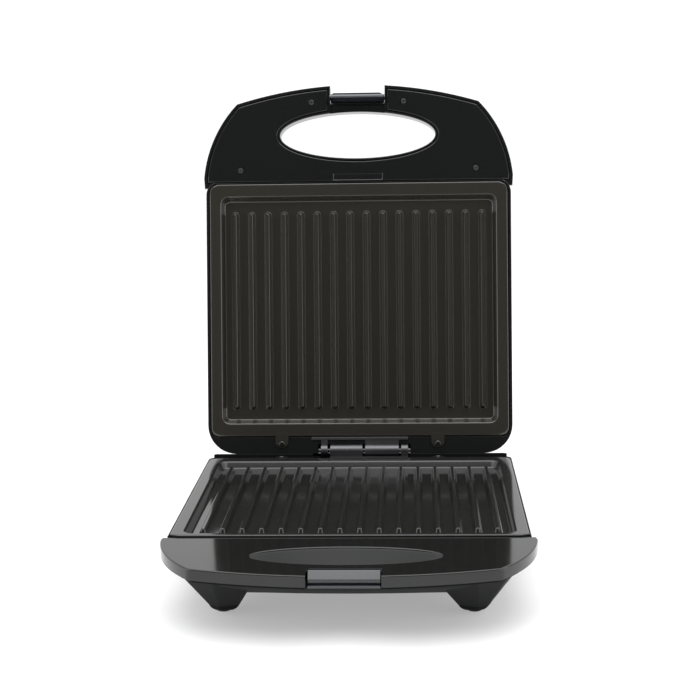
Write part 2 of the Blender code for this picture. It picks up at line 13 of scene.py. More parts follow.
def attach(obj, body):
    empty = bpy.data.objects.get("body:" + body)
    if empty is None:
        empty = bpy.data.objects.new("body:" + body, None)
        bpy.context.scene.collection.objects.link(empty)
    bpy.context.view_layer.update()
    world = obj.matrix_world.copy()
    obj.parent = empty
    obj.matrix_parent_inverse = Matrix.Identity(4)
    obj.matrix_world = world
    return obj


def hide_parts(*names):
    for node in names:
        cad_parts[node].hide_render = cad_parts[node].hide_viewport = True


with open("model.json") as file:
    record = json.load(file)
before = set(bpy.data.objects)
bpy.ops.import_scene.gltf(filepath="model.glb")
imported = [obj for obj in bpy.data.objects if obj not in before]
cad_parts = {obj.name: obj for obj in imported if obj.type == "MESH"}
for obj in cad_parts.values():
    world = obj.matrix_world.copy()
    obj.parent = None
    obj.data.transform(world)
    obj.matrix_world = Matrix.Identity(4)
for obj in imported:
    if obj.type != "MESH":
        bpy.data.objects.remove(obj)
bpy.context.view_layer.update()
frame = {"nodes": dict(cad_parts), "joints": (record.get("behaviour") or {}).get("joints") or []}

MM = 0.001

# Hinge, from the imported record
HINGE = next(joint for joint in frame["joints"] if joint["name"] == "lid_hinge")
AXIS = Vector(HINGE["pos_m"])
FLOOR = -AXIS.z / MM
OPEN = math.radians(HINGE["range_deg"][1])
IN_BASE = Matrix.Translation(AXIS)
IN_LID = Matrix.Translation(AXIS) @ Matrix.Rotation(-OPEN, 4, "X")

# Grill plates
PLATE_W = 229.0
PLATE_BACK = -10.7
PLATE_FRONT = -205.5
PLATE_MID = (PLATE_BACK + PLATE_FRONT) / 2
PLATE_HALF = (PLATE_BACK - PLATE_FRONT) / 2
LOWER_RIM = -3.0
UPPER_RIM = -1.0
RIM_T = 1.3
PLATE_T = 7.3
BODY_INSET = 2.6
WELL_SIDE = 8.5
WELL_END = 10.0
WELL_RUN = 2.7
WELL_DEPTH = 5.3
RIB_COUNT = 16
RIB_PITCH = 12.68
RIB_BACK = -31.2            # back tip of the ribs
RIB_FRONT = -184.6          # front tip of the ribs
FRONT_REACH = 5.5           # the lower plate's well ends this much nearer the handle
# Rib section: distance from its middle line and height over the well floor
RIB_PROFILE = ((0.0, 4.3), (0.85, 4.29), (1.35, 3.82), (1.52, 3.4), (1.7, 2.8), (1.88, 2.2), (2.08, 1.6),
               (2.3, 1.03), (2.55, 0.5), (2.85, 0.15), (3.2, 0.0))
RIB_FOOT = 3.2
TAB_X = 60.0
TAB_SCREW_Y = -5.1

# Handles; "ext" is the distance in front of the plates
SHOULDER = (119.0, 5.0)
SIDE_MID = (113.3, 29.8)
CORNER = (93.0, 62.0)
APEX = 75.85
FRONT_R = (CORNER[0]**2 + (APEX - CORNER[1])**2) / (2 * (APEX - CORNER[1]))
CLEAR_FRONT = PLATE_FRONT - 80          # in front of both handles
HOLE_X = 59.7
HOLE_Y = 17.9
HOLE_EXT = 37.2
HOLE_MID = PLATE_FRONT - HOLE_EXT

# Base
BASE_HALF = 115.5
BASE_BACK = -1.0
BASE_TOP = -3.6
HANDLE_TOP = -4.3
FASCIA_LOW = -11.7
BELLY_TOP = -13.0
BELLY_LOW = -39.0
RECESS_DEPTH = 11.5
CATCH_HALF = 21.65
SLOT_HALF = 22.3
SLOT_BACK = PLATE_FRONT - 61.0
GLAND = (62.0, -25.0)       # X and Z of the cord gland
PAD_X = 79.2
PAD_FRONT = -214.8
PAD_BACK = -31.0
PAD_R = 4.6

# Lid
LID_HALF = 117.2
LID_BACK = 2.5
LID_TOP = 38.8
LID_FRONT = -207.5
DOME_LOW = 14.0             # the lid's walls stand straight up to here
DOME_SIDE = 24.0            # how far the crowned top draws in at the sides and back
DOME_FRONT = 30.6           # and at the front
LID_HANDLE_TOP = 17.0
LID_FACE = 1.0
COVER_T = 2.5
NOTCH_HALF = 20.95
NOTCH_EXT = 62.2
COVER_CUT = 22.7
TRIM_INSET = 2.5            # seam between the handle's rim and its trim
LATCH_HALF = 20.75
PIN_EXT = 66.0
PIN_Z = 7.0
PIN = (PLATE_FRONT - PIN_EXT, PIN_Z)    # Y and Z of the latch pin
LENS_X = 11.0
LENS_Y = -150.0
COVER_SCREWS = ((35.5, 62.8), (90.6, 10.8))

# Hinge knuckles along X
LID_EAR = (-30.0, -24.6)
BASE_BARREL = (-22.8, 2.2)
LID_BARREL = (3.9, 30.2)
BASE_EAR = (31.6, 37.2)
BARREL_R = 4.5


# --- materials ----------------------------------------------------------------------------------

def surface(name, color, roughness, mottle, grain, bump, metallic=0.0, specular=0.5):
    """Moulded or coated surface: slight colour mottle, roughness that wanders, fine grain in the relief."""
    mat = bpy.data.materials.new(name)
    mat.use_nodes = True
    nodes = mat.node_tree.nodes
    link = mat.node_tree.links.new
    shader = nodes["Principled BSDF"]
    shader.inputs["Metallic"].default_value = metallic
    shader.inputs["Specular IOR Level"].default_value = specular
    place = nodes.new("ShaderNodeTexCoord")
    cloud = nodes.new("ShaderNodeTexNoise")
    cloud.inputs["Scale"].default_value = 30.0
    cloud.inputs["Detail"].default_value = 3.0
    tint = nodes.new("ShaderNodeMix")
    tint.data_type = "RGBA"
    tint.inputs["A"].default_value = (*[c * (1 - mottle) for c in color], 1.0)
    tint.inputs["B"].default_value = (*[c * (1 + mottle) for c in color], 1.0)
    polish = nodes.new("ShaderNodeMapRange")
    polish.inputs["From Min"].default_value = 0.3
    polish.inputs["From Max"].default_value = 0.7
    polish.inputs["To Min"].default_value = roughness * 0.94
    polish.inputs["To Max"].default_value = roughness * 1.06
    fine = nodes.new("ShaderNodeTexNoise")
    fine.inputs["Scale"].default_value = grain
    fine.inputs["Detail"].default_value = 2.0
    relief = nodes.new("ShaderNodeBump")
    relief.inputs["Strength"].default_value = bump
    relief.inputs["Distance"].default_value = 0.0001
    link(place.outputs["Object"], cloud.inputs["Vector"])
    link(place.outputs["Object"], fine.inputs["Vector"])
    link(cloud.outputs["Fac"], tint.inputs["Factor"])
    link(tint.outputs["Result"], shader.inputs["Base Color"])
    link(cloud.outputs["Fac"], polish.inputs["Value"])
    link(polish.outputs["Result"], shader.inputs["Roughness"])
    link(fine.outputs["Fac"], relief.inputs["Height"])
    link(relief.outputs["Normal"], shader.inputs["Normal"])
    return mat


# Record slot, a matt finish of one, or a darker copy of one that paints shade: colour, roughness, mottle,
# grain, bump, metallic, specular
LOOKS = {
    "black_gloss": surface("black_gloss_plastic", (0.0075, 0.0080, 0.0078), 0.09, 0.08, 900.0, 0.02),
    "black_satin": surface("black_satin_plastic", (0.0085, 0.0090, 0.0088), 0.55, 0.10, 1800.0, 0.15,
                           specular=0.05),
    "matt_black_satin": surface("matt_black_plastic", (0.027, 0.028, 0.0275), 0.6, 0.10, 1800.0, 0.2,
                                specular=0.3),
    "nonstick": surface("nonstick_coating", (0.0245, 0.0230, 0.0185), 0.11, 0.05, 1500.0, 0.05,
                        specular=0.6),
    # Same coating as the upper plate, made darker and greyer: painted shade for the lower plate under the
    # open lid
    "nonstick_painted_shade": surface("nonstick_coating_painted_shade", (0.0150, 0.0152, 0.0148), 0.11, 0.05, 1500.0, 0.05,
                             specular=0.6),
    "blue_gloss": surface("blue_black_plastic", (0.018, 0.0205, 0.027), 0.10, 0.08, 900.0, 0.03,
                          specular=0.8),
    "steel": surface("plain_steel", (0.115, 0.115, 0.12), 0.42, 0.08, 1500.0, 0.08, metallic=1.0),
    "dark_steel": surface("blackened_steel", (0.06, 0.06, 0.057), 0.25, 0.10, 1500.0, 0.08, metallic=1.0),
    "rubber": surface("matt_rubber", (0.012, 0.012, 0.012), 0.7, 0.15, 1500.0, 0.3),
    "red_lens": surface("red_lens_plastic", (0.45, 0.015, 0.012), 0.1, 0.08, 900.0, 0.02),
    "green_lens": surface("green_lens_plastic", (0.015, 0.32, 0.05), 0.1, 0.08, 900.0, 0.02),
    "phenolic": surface("brown_phenolic", (0.12, 0.07, 0.045), 0.5, 0.2, 900.0, 0.2),
}


# --- shape helpers ------------------------------------------------------------------------------

def to_object(name, bm):
    """New object from a bmesh, with its normals outward."""
    bmesh.ops.recalc_face_normals(bm, faces=bm.faces)
    mesh = bpy.data.meshes.new(name)
    bm.to_mesh(mesh)
    bm.free()
    obj = bpy.data.objects.new(name, mesh)
    bpy.context.scene.collection.objects.link(obj)
    return obj


def loft(name, rings):
    """Closed solid through rings of equal point count."""
    bm = bmesh.new()
    loops = [[bm.verts.new(Vector(p) * MM) for p in ring] for ring in rings]
    count = len(rings[0])
    bm.faces.new(loops[0])
    bm.faces.new(loops[-1])
    for low, high in zip(loops, loops[1:]):
        for i in range(count):
            j = (i + 1) % count
            bm.faces.new((low[i], low[j], high[j], high[i]))
    return to_object(name, bm)


def prism(name, outline, z0, z1):
    """Solid with an (x, y) outline that runs along Z."""
    return loft(name, [[(x, y, z) for x, y in outline] for z in (z0, z1)])


def sweep_x(name, profile, x0, x1):
    """Solid with a (y, z) profile that runs along X."""
    return loft(name, [[(x, y, z) for y, z in profile] for x in (x0, x1)])


def box(name, x0, x1, y0, y1, z0, z1):
    return prism(name, [(x0, y0), (x1, y0), (x1, y1), (x0, y1)], z0, z1)


def circle(cx, cy, radius, count=40):
    turn = 2 * math.pi / count
    return [(cx + radius * math.cos(i * turn), cy + radius * math.sin(i * turn)) for i in range(count)]


def round_x(name, radii, centre=(0.0, 0.0), count=40):
    """Turned piece along X through (x, radius) pairs."""
    return loft(name, [[(x, y, z) for y, z in circle(*centre, radius, count)] for x, radius in radii])


def ellipse(grow=0.0, count=112):
    """Outline of the hand hole and, in the base, of the finger recess."""
    turn = 2 * math.pi / count
    return [((HOLE_X + grow) * math.cos(i * turn), HOLE_MID + (HOLE_Y + grow) * math.sin(i * turn))
            for i in range(count)]


def evaluate(obj):
    """Replaces an object's mesh with what its modifiers make."""
    graph = bpy.context.evaluated_depsgraph_get()
    mesh = bpy.data.meshes.new_from_object(obj.evaluated_get(graph))
    obj.modifiers.clear()
    old = obj.data
    obj.data = mesh
    mesh.name = obj.name
    bpy.data.meshes.remove(old)


def combine(target, tool, operation="DIFFERENCE"):
    """Boolean of two solids; the tool is used up."""
    mod = target.modifiers.new("combine", "BOOLEAN")
    mod.operation = operation
    mod.solver = "EXACT"
    mod.object = tool
    evaluate(target)
    bpy.data.objects.remove(tool, do_unlink=True)
    return target


def join(target, other):
    """Adds another piece's mesh to a piece's own; the other object is used up."""
    joined = bmesh.new()
    joined.from_mesh(target.data)
    joined.from_mesh(other.data)
    joined.to_mesh(target.data)
    joined.free()
    bpy.data.objects.remove(other, do_unlink=True)


def soften(obj, width, segments=3, angle=40.0):
    """Rounds the sharp edges of a piece by width."""
    mod = obj.modifiers.new("soften", "BEVEL")
    mod.width = width * MM
    mod.segments = segments
    mod.limit_method = "ANGLE"
    mod.angle_limit = math.radians(angle)
    evaluate(obj)
    return obj


def settle(obj, place, body, look, nodes=(), sharp=38.0):
    """Moves a finished piece from the hinge frame to its place, and says what it is."""
    obj.data.transform(place)
    obj.data.materials.clear()
    obj.data.materials.append(LOOKS[look])
    obj.data.shade_smooth()
    obj.data.set_sharp_from_angle(angle=math.radians(sharp))
    mod = obj.modifiers.new("flat_faces_stay_flat", "WEIGHTED_NORMAL")
    mod.keep_sharp = True
    evaluate(obj)
    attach(obj, body)
    if nodes:
        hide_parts(*nodes)
    return obj


# --- outlines -----------------------------------------------------------------------------------

def arc_through(a, b, c, count):
    """Points on the circle through a, b and c, from a to c."""
    ax, ay = a
    bx, by = b
    cx, cy = c
    d = 2 * (ax * (by - cy) + bx * (cy - ay) + cx * (ay - by))
    ux = ((ax**2 + ay**2) * (by - cy) + (bx**2 + by**2) * (cy - ay) + (cx**2 + cy**2) * (ay - by)) / d
    uy = ((ax**2 + ay**2) * (cx - bx) + (bx**2 + by**2) * (ax - cx) + (cx**2 + cy**2) * (bx - ax)) / d
    radius = math.hypot(ax - ux, ay - uy)
    start = math.atan2(ay - uy, ax - ux)
    end = math.atan2(cy - uy, cx - ux)
    return [(ux + radius * math.cos(start + (end - start) * i / count),
             uy + radius * math.sin(start + (end - start) * i / count)) for i in range(count + 1)]


def shrink(outline, inset):
    """Moves each point of a closed outline inward along its own normal."""
    if not inset:
        return list(outline)
    count = len(outline)
    area = sum(outline[i - 1][0] * outline[i][1] - outline[i][0] * outline[i - 1][1] for i in range(count))
    side = 1.0 if area > 0 else -1.0
    moved = []
    for i, (x, y) in enumerate(outline):
        before = Vector((x - outline[i - 1][0], y - outline[i - 1][1])).normalized()
        after = Vector((outline[(i + 1) % count][0] - x, outline[(i + 1) % count][1] - y)).normalized()
        normal_a = Vector((-before.y, before.x)) * side
        normal_b = Vector((-after.y, after.x)) * side
        miter = (normal_a + normal_b) / (1.0 + normal_a.dot(normal_b))
        moved.append((x + miter.x * inset, y + miter.y * inset))
    return moved


def handle_half(start, side_points=22, front_points=34):
    """Right half of a handle's outline as (x, ext), from its back edge to the middle of the front."""
    half = arc_through(SHOULDER, SIDE_MID, CORNER, side_points)
    half = [p for p in half if p[1] > start + 1.0]
    for i in range(1, front_points + 1):
        x = CORNER[0] * (1 - i / front_points)
        half.append((x, APEX - FRONT_R + math.sqrt(FRONT_R**2 - x**2)))
    if start < SHOULDER[1]:
        half = [(SHOULDER[0] - 0.5, start)] + half
    return half


def handle_outline(back):
    """Whole outline of a handle, from its straight back edge at y = back."""
    right = handle_half(PLATE_FRONT - back)
    outline = [(x, PLATE_FRONT - ext) for x, ext in right]
    return outline + [(-x, PLATE_FRONT - ext) for x, ext in reversed(right[:-1])]


def rounded_box(half, y_back, y_front, r_back, r_front, steps=10):
    """Rectangle with one radius at its back corners and another at its front corners."""
    outline = []
    corners = ((half - r_back, y_back - r_back, r_back, 0),
               (-half + r_back, y_back - r_back, r_back, 90),
               (-half + r_front, y_front + r_front, r_front, 180),
               (half - r_front, y_front + r_front, r_front, 270))
    for cx, cy, radius, start in corners:
        for i in range(steps + 1):
            angle = math.radians(start + 90 * i / steps)
            outline.append((cx + radius * math.cos(angle), cy + radius * math.sin(angle)))
    return outline


def spread(low, high, step):
    """Even values from low to high, about step apart."""
    count = max(1, round(abs(high - low) / step))
    return [low + (high - low) * i / count for i in range(count + 1)]


# --- grill plates -------------------------------------------------------------------------------

def rib_height(x, y):
    """Height over the well floor at a point."""
    column = round(x / RIB_PITCH + (RIB_COUNT - 1) / 2)
    column = min(RIB_COUNT - 1, max(0, column))
    middle = (column - (RIB_COUNT - 1) / 2) * RIB_PITCH
    nearest = min(RIB_BACK - RIB_FOOT, max(RIB_FRONT + RIB_FOOT, y))
    reach = math.hypot(x - middle, y - nearest)
    for (r0, h0), (r1, h1) in zip(RIB_PROFILE, RIB_PROFILE[1:]):
        if reach < r1:
            return h0 + (h1 - h0) * (reach - r0) / (r1 - r0)
    return 0.0


# Rings from the well floor out over the rim and down: inset at the sides, inset at the ends, corner
# radius, depth under the rim
WELL_RINGS = (
    (WELL_SIDE + WELL_RUN + 1.2, WELL_END + WELL_RUN + 1.2, 2.6, WELL_DEPTH),
    (WELL_SIDE + WELL_RUN + 0.5, WELL_END + WELL_RUN + 0.5, 3.2, WELL_DEPTH - 0.12),
    (WELL_SIDE + WELL_RUN, WELL_END + WELL_RUN, 3.6, WELL_DEPTH - 0.5),
    (WELL_SIDE + WELL_RUN - 0.3, WELL_END + WELL_RUN - 0.3, 3.9, WELL_DEPTH - 1.0),
    (WELL_SIDE + 0.55, WELL_END + 0.55, 5.4, 1.0),
    (WELL_SIDE + 0.2, WELL_END + 0.2, 5.7, 0.45),
    (WELL_SIDE - 0.3, WELL_END - 0.3, 6.0, 0.12),
    (WELL_SIDE - 0.9, WELL_END - 0.9, 6.3, 0.0),
    (1.5, 1.5, 6.0, 0.0),
    (0.9, 0.9, 6.0, 0.05),
    (0.4, 0.4, 6.0, 0.22),
    (0.1, 0.1, 6.0, 0.55),
    (0.0, 0.0, 6.0, RIM_T - 0.2),
    (0.2, 0.2, 6.0, RIM_T),
    (BODY_INSET, BODY_INSET, 5.0, RIM_T),
    (BODY_INSET, BODY_INSET, 5.0, PLATE_T),
)
GRID_X = PLATE_W / 2 - WELL_SIDE - WELL_RUN - 2.0
GRID_Y = PLATE_HALF - WELL_END - WELL_RUN - 2.0
CORNER_X = 99.2             # grid columns beyond this run round the corners of the rings
CORNER_Y = 3.2              # grid rows this close to the grid's ends do too


def round_corner(along, start, half_along, half_across, radius):
    """Point of a rounded corner for a share of the way from start to the middle of the corner's arc."""
    straight = half_along - radius - start
    way = along * (straight + radius * math.pi / 4)
    if way < straight:
        return start + way, half_across
    angle = (way - straight) / radius
    return half_along - radius + radius * math.sin(angle), half_across - radius + radius * math.cos(angle)


def ring_point(x, y, on_end, half_x, half_y, radius):
    """Where a point of the grid's border goes on a ring with rounded corners."""
    if on_end:
        px, py = (abs(x), half_y)
        share = (abs(x) - CORNER_X) / (GRID_X - CORNER_X)
        if share > 0:
            px, py = round_corner(share, CORNER_X, half_x, half_y, radius)
    else:
        px, py = (half_x, abs(y))
        share = (abs(y) - GRID_Y + CORNER_Y) / CORNER_Y
        if share > 0:
            py, px = round_corner(share, GRID_Y - CORNER_Y, half_y, half_x, radius)
    return math.copysign(px, x), math.copysign(py, y)


def plate_columns():
    """Places of the grid's columns: the rib section at each rib, the middles between, the corners."""
    across = [side * reach for reach, _ in RIB_PROFILE for side in (-1, 1)]
    columns = [(i - (RIB_COUNT - 1) / 2) * RIB_PITCH + dx for i in range(RIB_COUNT) for dx in across]
    columns += [(i - RIB_COUNT / 2) * RIB_PITCH for i in range(1, RIB_COUNT)]
    edge = spread(CORNER_X, GRID_X, 0.6)
    columns += edge + [-x for x in edge]
    return sorted(set(round(x, 4) for x in columns))


def plate_rows():
    """Places of the grid's rows from the plate's middle: close at the ribs' round ends and the corners."""
    half = (RIB_BACK - RIB_FRONT) / 2
    mid = (RIB_BACK + RIB_FRONT) / 2 - PLATE_MID
    rows = [mid + side * y for y in spread(half - RIB_FOOT, half, 0.27) for side in (-1, 1)]
    rows += spread(mid - half + 8, mid + half - 8, 11.0)
    edge = spread(GRID_Y - CORNER_Y - 1.2, GRID_Y, 0.55)
    rows += edge + [-y for y in edge]
    return sorted(set(round(y, 4) for y in rows))


def grill_plate(name, rim, up, tab_level):
    """Pressed plate with its open side towards up (1 or -1): a ribbed grid, then rings over the rim."""
    columns = plate_columns()
    rows = plate_rows()
    bm = bmesh.new()
    floor = rim - up * WELL_DEPTH
    grid = [[bm.verts.new(Vector((x, PLATE_MID + y, floor + up * rib_height(x, PLATE_MID + y))) * MM)
             for x in columns] for y in rows]
    for low, high in zip(grid, grid[1:]):
        for i in range(len(columns) - 1):
            bm.faces.new((low[i], low[i + 1], high[i + 1], high[i]))
    last_i = len(columns) - 1
    last_j = len(rows) - 1
    border = [(0, i) for i in range(last_i)] + [(j, last_i) for j in range(last_j)]
    border += [(last_j, i) for i in range(last_i, 0, -1)] + [(j, 0) for j in range(last_j, 0, -1)]
    loop = [grid[j][i] for j, i in border]
    for inset_x, inset_y, radius, depth in WELL_RINGS:
        ring = []
        for j, i in border:
            px, py = ring_point(columns[i], rows[j], j in (0, last_j), PLATE_W / 2 - inset_x,
                                PLATE_HALF - inset_y, radius)
            ring.append(bm.verts.new(Vector((px, PLATE_MID + py, rim - up * depth)) * MM))
        for k in range(len(ring)):
            n = (k + 1) % len(ring)
            bm.faces.new((loop[k], loop[n], ring[n], ring[k]))
        loop = ring
    bm.faces.new(loop)
    plate = to_object(name, bm)
    for side in (-1, 1):
        join(plate, plate_tab(side * TAB_X, tab_level, up))
    return plate


def plate_tab(x, level, up):
    """Screw tab with a round end, behind the plate's back edge."""
    outline = [(x - 5, PLATE_BACK - 3.0), (x + 5, PLATE_BACK - 3.0)]
    outline += [(x + 5 * math.cos(a), TAB_SCREW_Y - 2.0 + 5 * math.sin(a))
                for a in spread(0, math.pi, 0.2)]
    rings = ((0.0, 0.0), (0.0, 0.9), (0.12, 1.1), (0.4, 1.2))
    return loft("tab", [[(px, py, level + up * z) for px, py in shrink(outline, inset)]
                        for inset, z in rings])


def narrow_front_rim(plate):
    """Moves the front end of the well and its ribs towards the handle; only the straight parts stretch."""
    rim = PLATE_FRONT + 1.5
    rim_width = 6.5
    ribs = RIB_FRONT + RIB_FOOT + 1.0
    stretch = 30.0
    for vertex in plate.data.vertices:
        y = vertex.co.y / MM
        near = min(1.0, max(0.0, (y - rim) / rim_width))
        far = min(1.0, max(0.0, (ribs + stretch - y) / stretch))
        vertex.co.y -= FRONT_REACH * near * far * MM
    return plate


lower_skin = narrow_front_rim(grill_plate("lower_plate_skin", LOWER_RIM, 1, -4.9))
# The lower plate takes the darker copy of the coating, which paints shade on it
settle(lower_skin, IN_BASE, "base", "nonstick_painted_shade", ["lower_grill_plate"])
settle(grill_plate("upper_plate_skin", UPPER_RIM, -1, -0.1), IN_LID, "lid", "nonstick", ["upper_grill_plate"])


# --- screws -------------------------------------------------------------------------------------

def screw(name, x, y, face, out, place, body, look, node):
    """Pan head with a cross recess and a short shank; out is the way the head faces along Z."""
    rings = ((1.15, -6.0), (1.15, 0.05), (2.2, 0.06), (2.25, 0.25), (2.15, 0.48), (1.9, 0.76), (1.55, 0.94),
             (1.2, 1.0), (0.6, 1.02))
    head = loft(name, [[(px, py, face + out * z) for px, py in circle(x, y, r, 28)] for r, z in rings])
    for sx, sy in ((1.4, 0.45), (0.45, 1.4)):
        low, high = sorted((face - out * 0.6, face + out * 2.0))
        combine(head, box("cross", x - sx, x + sx, y - sy, y + sy, low, high))
    return settle(head, place, body, look, [node])


for tag, sign in (("left", -1), ("right", 1)):
    spot = (sign * TAB_X, TAB_SCREW_Y)
    screw("base_tab_screw_" + tag, *spot, -3.65, 1, IN_BASE, "base", "dark_steel", "lower_tab_screw_" + tag)
    screw("lid_tab_screw_" + tag, *spot, -1.35, -1, IN_LID, "lid", "dark_steel", "upper_tab_screw_" + tag)
    for label, (x, ext) in zip(("inner", "outer"), COVER_SCREWS):
        name = "%s_%s" % (label, tag)
        spot = (sign * x, PLATE_FRONT - ext)
        screw("handle_screw_" + name, *spot, 2.45, -1, IN_LID, "lid", "steel", "cover_screw_" + name)


# --- base ---------------------------------------------------------------------------------------

def curve_points(points, per_span=6):
    """Smooth curve through the given points."""
    result = []
    for i in range(len(points) - 1):
        p0 = Vector(points[max(i - 1, 0)])
        p1 = Vector(points[i])
        p2 = Vector(points[i + 1])
        p3 = Vector(points[min(i + 2, len(points) - 1)])
        for k in range(per_span):
            t = k / per_span
            result.append(tuple(0.5 * (2 * p1 + (p2 - p0) * t + (2 * p0 - 5 * p1 + 4 * p2 - p3) * t * t
                                       + (3 * p1 - p0 - 3 * p2 + p3) * t**3)))
    result.append(tuple(points[-1]))
    return result


# Right half of the belly's outline, from back to front, where it starts and at the underside
BELLY_PLAN_TOP = ((100, -3.6), (106.5, -4.8), (109.6, -9), (110, -60), (110, -150), (108.6, -205),
                  (102.5, -240), (90, -261), (60, -268.5), (30, -272.8), (0, -274))
BELLY_PLAN_LOW = ((78, -10), (84, -11), (87.6, -17), (88, -60), (88, -150), (87.5, -190), (84, -203),
                  (72, -210.5), (48, -212), (24, -212.8), (0, -213))
BELLY_MID = -125.0


def belly_rings(inset):
    """Belly under the base; with an inset, the room inside it, scaled about the belly's middle."""
    rings = []
    keep = 1 - inset / 100
    for step in range(15):
        t = step / 14
        blend = t**1.3
        top = curve_points(BELLY_PLAN_TOP)
        low = curve_points(BELLY_PLAN_LOW)
        half = [(a[0] + (b[0] - a[0]) * blend, a[1] + (b[1] - a[1]) * blend) for a, b in zip(top, low)]
        outline = half + [(-x, y) for x, y in reversed(half[:-1])]
        z = BELLY_TOP + 0.2 + (BELLY_LOW + inset - BELLY_TOP - 0.2) * t
        rings.append([(x * keep, BELLY_MID + (y - BELLY_MID) * keep, z) for x, y in outline])
    if not inset:
        # Rounded edge where the belly turns into the flat underside.
        flat = rings.pop()
        outline = [(x, y) for x, y, _ in flat]
        for round_in, drop in ((0.0, -1.4), (0.5, -0.6), (1.4, -0.15), (2.8, 0.0)):
            rings.append([(x, y, BELLY_LOW - drop) for x, y in shrink(outline, round_in)])
    return rings


def base_shell():
    """Housing: the box round the plate and the belly under it, hollow, with the hinge and gland openings."""
    upper = rounded_box(BASE_HALF, BASE_BACK, PLATE_FRONT - 0.1, 5.0, 0.7)
    rings = ((0.0, BELLY_TOP - 0.3), (0.0, BASE_TOP - 0.7), (0.1, BASE_TOP - 0.3), (0.5, BASE_TOP))
    shell = loft("base_shell", [[(x, y, z) for x, y in shrink(upper, inset)] for inset, z in rings])
    combine(shell, loft("belly", belly_rings(0.0)), "UNION")
    flange = shrink(handle_outline(PLATE_FRONT + 3.0), 2.3)
    combine(shell, prism("flange", flange, BELLY_TOP - 0.2, FASCIA_LOW + 1.4), "UNION")
    pocket = rounded_box(BASE_HALF - 3.0, PLATE_BACK - 0.2, PLATE_FRONT + 2.3, 4.0, 4.0)
    combine(shell, prism("pocket", pocket, LOWER_RIM - PLATE_T - 0.7, 0.0))
    seat = rounded_box(PLATE_W / 2 + 0.15, PLATE_BACK - 0.1, PLATE_FRONT - 5.0, 6.0, 2.0)
    combine(shell, prism("rim_seat", seat, LOWER_RIM - RIM_T - 0.2, 0.0))
    room = rounded_box(BASE_HALF - 6.9, BASE_BACK - 5.5, PLATE_FRONT + 2.3, 4.0, 4.0)
    combine(shell, prism("room", room, BELLY_TOP - 1.5, -8.5))
    combine(shell, box("ledge_step", -130, 130, PLATE_BACK - 0.2, 5, -5.0, 0))
    combine(shell, loft("belly_room", belly_rings(2.0)))
    front = [(103, -208), (97, -240), (86, -258), (0, -270)]
    front += [(-x, y) for x, y in reversed(front[:-1])]
    combine(shell, prism("front_room", front, BELLY_TOP - 0.5, 0.0))
    lip = [(-110.3, BASE_BACK), (110.3, BASE_BACK), (112.5, BASE_BACK - 1.1),
           (-112.5, BASE_BACK - 1.1)]
    combine(shell, loft("back_lip", [[(x, y, z) for x, y in shrink(lip, inset)]
                                     for inset, z in ((0.0, -6.0), (0.0, -2.5), (0.25, -2.2))]), "UNION")
    combine(shell, box("hinge_notch", -36, 38, -4.9, BASE_BACK - 1.1, -12, 0))
    combine(shell, box("hinge_gap", -36, 38, -4.9, 2, -4.6, 0))
    combine(shell, box("catch_room", -SLOT_HALF, SLOT_HALF, CLEAR_FRONT, SLOT_BACK + 0.1, -15.2, 0))
    combine(shell, loft("gland_hole", [[(px, y, pz) for px, pz in circle(*GLAND, 5.4)] for y in (-14, 4)]))
    return shell


def base_top():
    """Handle slab with a soft top edge, an opening for the finger recess and the slot for the catch."""
    outline = handle_outline(PLATE_FRONT - 0.4)
    rings = ((0.5, FASCIA_LOW), (0.12, FASCIA_LOW + 0.15), (0.0, FASCIA_LOW + 0.5), (0.0, HANDLE_TOP - 0.9),
             (0.08, HANDLE_TOP - 0.5), (0.3, HANDLE_TOP - 0.18), (0.7, HANDLE_TOP - 0.03), (1.1, HANDLE_TOP))
    slab = loft("base_top", [[(x, y, z) for x, y in shrink(outline, inset)] for inset, z in rings])
    inside = shrink(handle_outline(PLATE_FRONT + 4.0), 2.0)
    combine(slab, prism("inside", inside, FASCIA_LOW - 1, HANDLE_TOP - 2.0))
    edge = ((-0.9, FASCIA_LOW - 1), (-0.9, HANDLE_TOP - 0.9), (-0.75, HANDLE_TOP - 0.5),
            (-0.4, HANDLE_TOP - 0.15), (0.1, HANDLE_TOP), (0.9, HANDLE_TOP + 0.5))
    combine(slab, loft("recess_edge", [[(x, y, z) for x, y in ellipse(grow)] for grow, z in edge]))
    return combine(slab, box("catch_slot", -SLOT_HALF, SLOT_HALF, CLEAR_FRONT, SLOT_BACK, -20, 0))


def recess_cup():
    """Thin cup under the opening of the handle slab, with a sloping wall."""
    floor = HANDLE_TOP - RECESS_DEPTH
    inner = ((-11.0, floor), (-9.6, floor + 0.2), (-8.4, floor + 0.9), (-2.0, HANDLE_TOP - 1.9),
             (-1.0, HANDLE_TOP - 0.95))
    outer = ((0.8, HANDLE_TOP - 1.1), (0.8, HANDLE_TOP - 2.4), (-7.0, floor - 0.8), (-9.0, floor - 1.4))
    return loft("recess_cup", [[(x, y, z) for x, y in ellipse(grow)] for grow, z in inner + outer])


def catch():
    """Keeper with a sloped face, a groove for the latch's tooth and a ledge under it."""
    profile = [(61.3, -5.0), (62.3, -5.0), (65.9, -9.9), (65.7, -10.6), (63.6, -10.9), (63.6, -13.2),
               (66.8, -13.3), (66.8, -14.9), (61.3, -14.9)]
    block = sweep_x("catch_block", [(PLATE_FRONT - ext, z) for ext, z in profile], -CATCH_HALF, CATCH_HALF)
    return soften(block, 0.3)


